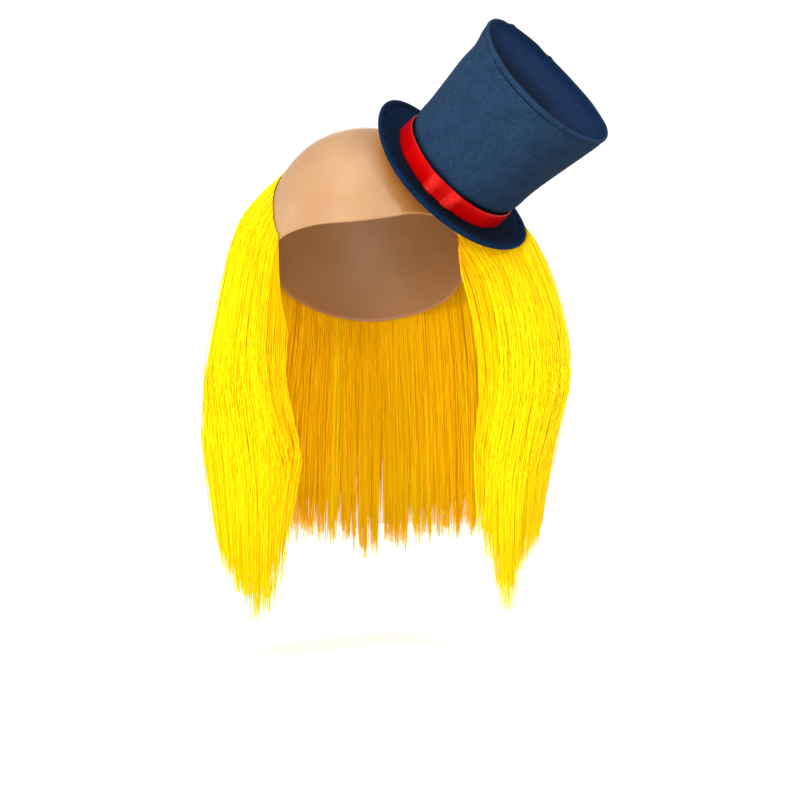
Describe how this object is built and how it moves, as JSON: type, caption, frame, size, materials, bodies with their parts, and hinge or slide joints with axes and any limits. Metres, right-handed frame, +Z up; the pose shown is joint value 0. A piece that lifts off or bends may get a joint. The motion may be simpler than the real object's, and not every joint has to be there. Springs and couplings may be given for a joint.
{
  "type": "clown wig with top hat",
  "caption": "Bald rubber cap with long straight hair round its sides and back, and a small felt top hat with a ribbon sewn on at an angle over one temple.",
  "frame": {"origin": "where the top of the head meets the inside of the cap", "axes": "+Z up along the wearer's head, -Y the way the face looks, +X the wearer's left"},
  "size_m": [0.3199, 0.2744, 0.4619],
  "materials": {
    "cap_rubber": "skin-coloured latex, satin",
    "hair": "bright yellow straight synthetic fibre, glossy",
    "felt": "dark blue wool felt, matt",
    "felt_brim": "near-black blue felt, matt",
    "ribbon_satin": "red satin ribbon"
  },
  "bodies": {
    "root": {"bald_cap": "cap_rubber", "hair_right": "hair", "hair_back": "hair", "hair_left": "hair", "hat_brim": "felt_brim", "hat_crown": "felt", "hat_top": "felt", "hat_ribbon": "ribbon_satin"}
  },
  "joints": []
}
